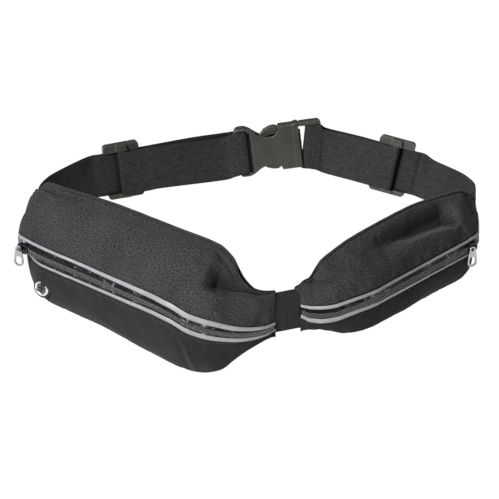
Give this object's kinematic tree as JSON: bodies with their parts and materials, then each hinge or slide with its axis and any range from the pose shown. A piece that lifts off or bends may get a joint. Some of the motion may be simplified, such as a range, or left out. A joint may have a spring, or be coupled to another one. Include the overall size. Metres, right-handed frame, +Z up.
{
  "type": "waist pack",
  "caption": "Running waist pack: a webbing belt looped by a side-release buckle, with a large and a small zipped pouch in front and strap adjusters behind.",
  "frame": {"origin": "middle of the waist loop, level with the middle of the front webbing between the two pouches", "axes": "+X to the side of the small pouch, +Y to the back of the loop where the buckle is, +Z up when worn"},
  "size_m": [0.3899, 0.2674, 0.1163],
  "materials": {
    "heather_fabric": "fine heathered stretch knit, matt",
    "lower_fabric": "smooth dark stretch fabric, matt",
    "back_fabric": "plain black fabric, matt",
    "webbing": "ribbed woven webbing",
    "reflective_tape": "silver-grey retroreflective tape, satin",
    "zip_tape": "glossy black coated zipper tape",
    "zip_teeth": "black coil, slight sheen",
    "nickel": "polished nickel plate",
    "rubber": "matt",
    "buckle_plastic": "moulded acetal, semi-matt"
  },
  "bodies": {
    "left_half": {"big_back_panel": "back_fabric", "big_lower_panel": "lower_fabric", "big_lower_reflective_strip": "reflective_tape", "big_lower_zip_tape": "zip_tape", "big_lower_zip_teeth": "zip_teeth", "big_top_piping": "back_fabric", "big_upper_panel": "heather_fabric", "big_upper_reflective_strip": "reflective_tape", "big_upper_zip_tape": "zip_tape", "big_upper_zip_teeth": "zip_teeth", "buckle_receptacle": "buckle_plastic", "earphone_port_ring": "nickel", "earphone_port_rubber": "rubber", "earphone_port_washer": "nickel", "front_webbing": "webbing", "left_strap": "webbing"},
    "right_half": {"buckle_plug": "buckle_plastic", "right_strap": "webbing", "small_back_panel": "back_fabric", "small_lower_panel": "lower_fabric", "small_lower_reflective_strip": "reflective_tape", "small_lower_zip_tape": "zip_tape", "small_lower_zip_teeth": "zip_teeth", "small_top_piping": "back_fabric", "small_upper_panel": "heather_fabric", "small_upper_reflective_strip": "reflective_tape", "small_upper_zip_tape": "zip_tape", "small_upper_zip_teeth": "zip_teeth"},
    "big_slider": {"big_zip_slider": "nickel"},
    "big_pull": {"big_zip_pull": "nickel"},
    "small_slider": {"small_zip_slider": "nickel"},
    "small_pull": {"small_zip_pull": "nickel"},
    "upper_latch": {"buckle_upper_latch_arm": "buckle_plastic"},
    "lower_latch": {"buckle_lower_latch_arm": "buckle_plastic"},
    "left_adjuster": {"left_triglide": "buckle_plastic", "left_return_strap": "webbing"},
    "right_adjuster": {"right_triglide": "buckle_plastic", "right_return_strap": "webbing"}
  },
  "joints": [
    {"name": "belt_opening", "type": "hinge", "parent": "left_half", "child": "right_half", "pos_m": [0.0399, -0.1016, 0], "axis": [0.124, 0.09, -0.9882], "range_deg": [0, 45], "deforming": ["front_webbing", "buckle_upper_latch_arm", "buckle_lower_latch_arm"]},
    {"name": "upper_arm_press", "type": "hinge", "parent": "right_half", "child": "upper_latch", "pos_m": [0.03733, 0.13477, 0.03539], "axis": [0.0275, -0.9781, 0.2062], "range_deg": [0, 12], "stiffness_Nm_per_rad": 0.15},
    {"name": "lower_arm_press", "type": "hinge", "parent": "right_half", "child": "lower_latch", "pos_m": [0.04137, 0.12888, 0.00688], "axis": [-0.0275, 0.9781, -0.2062], "range_deg": [0, 12], "stiffness_Nm_per_rad": 0.15},
    {"name": "big_zip_slide", "type": "slide", "parent": "left_half", "child": "big_slider", "axis": [0.7725, -0.635, 0], "range_m": [0, 0.13]},
    {"name": "big_pull_swing", "type": "hinge", "parent": "big_slider", "child": "big_pull", "pos_m": [-0.19041, -0.01065, 0.0035], "axis": [-0.635, -0.7725, 0], "range_deg": [-85, 15]},
    {"name": "small_zip_slide", "type": "slide", "parent": "right_half", "child": "small_slider", "axis": [-0.6812, -0.7318, 0.0219], "range_m": [0, 0.095]},
    {"name": "small_pull_swing", "type": "hinge", "parent": "small_slider", "child": "small_pull", "pos_m": [0.18281, -0.00472, -0.00029], "axis": [0.7315, -0.6819, 0], "range_deg": [-85, 15]},
    {"name": "left_adjuster_slide", "type": "slide", "parent": "left_half", "child": "left_adjuster", "axis": [0.9703, 0.2302, 0.074], "range_m": [0, 0.025], "deforming": ["left_return_strap"]},
    {"name": "right_adjuster_slide", "type": "slide", "parent": "right_half", "child": "right_adjuster", "axis": [-0.9527, 0.2644, 0.1499], "range_m": [0, 0.007], "deforming": ["right_return_strap"]}
  ]
}
